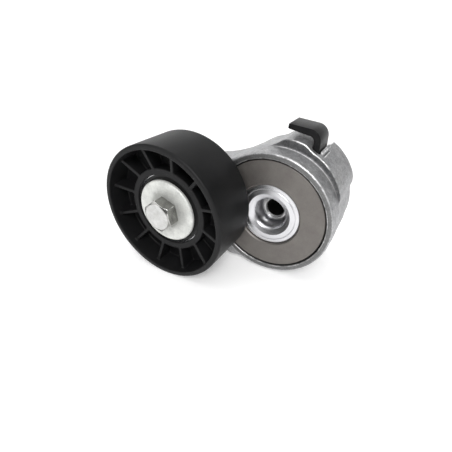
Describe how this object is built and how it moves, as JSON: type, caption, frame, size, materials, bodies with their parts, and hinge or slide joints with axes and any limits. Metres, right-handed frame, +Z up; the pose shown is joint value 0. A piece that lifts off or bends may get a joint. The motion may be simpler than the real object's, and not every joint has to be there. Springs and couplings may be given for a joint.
{
  "type": "belt tensioner idler",
  "caption": "Spring-loaded belt tensioner: a cast arm on a fixed pivot carries a smooth moulded pulley, with a spiral spring hooked over the arm's lug.",
  "frame": {"origin": "on the pivot axis, in the plane of the rear mounting face", "axes": "+Y along the pivot axis from the pulley side to the engine, +X to the right seen from the pulley side, +Z up"},
  "size_m": [0.1109, 0.0752, 0.0755],
  "materials": {
    "cast_aluminium": "as cast, matte",
    "machined_aluminium": "turned, satin",
    "disc_steel": "satin",
    "zinc_steel": "zinc plated",
    "bearing_steel": "polished",
    "black_spring": "black coating, semi-gloss",
    "black_polymer": "moulded, satin",
    "bush_polymer": "moulded, matte",
    "cage_polymer": "moulded, matte",
    "seal_rubber": "moulded, matte"
  },
  "bodies": {
    "base": {"pivot_shaft": "machined_aluminium", "bolt_sleeve": "zinc_steel", "thrust_disc": "disc_steel", "spring_guide": "bush_polymer", "base_plate": "disc_steel", "locating_pin": "zinc_steel"},
    "arm": {"arm_casting": "cast_aluminium", "friction_ring": "bush_polymer", "front_bush": "bush_polymer", "rear_bush": "bush_polymer", "torsion_spring": "black_spring", "pulley_bolt": "zinc_steel", "dust_washer": "zinc_steel", "rear_slinger": "zinc_steel", "bearing_inner_ring": "bearing_steel"},
    "pulley": {"pulley_wheel": "black_polymer", "bearing_outer_ring": "bearing_steel", "front_seal": "seal_rubber", "rear_seal": "seal_rubber"},
    "ball_set": {"bearing_balls": "bearing_steel", "bearing_cage": "cage_polymer"}
  },
  "joints": [
    {"name": "arm_swing", "type": "hinge", "parent": "base", "child": "arm", "pos_m": [0, -0.02, 0], "axis": [0, 1, 0], "range_deg": [0, 40], "stiffness_Nm_per_rad": 12, "springref_deg": -45.84, "deforming": ["torsion_spring"]},
    {"name": "pulley_spin", "type": "hinge", "parent": "arm", "child": "pulley", "pos_m": [-0.0442, -0.0536, 0.00173], "axis": [0, 1, 0], "continuous": true},
    {"name": "ball_set_spin", "type": "hinge", "parent": "arm", "child": "ball_set", "pos_m": [-0.0442, -0.0536, 0.00173], "axis": [0, 1, 0], "continuous": true}
  ],
  "couplings": [
    {"joint": "ball_set_spin", "follows": "pulley_spin", "ratio": 0.6184}
  ]
}
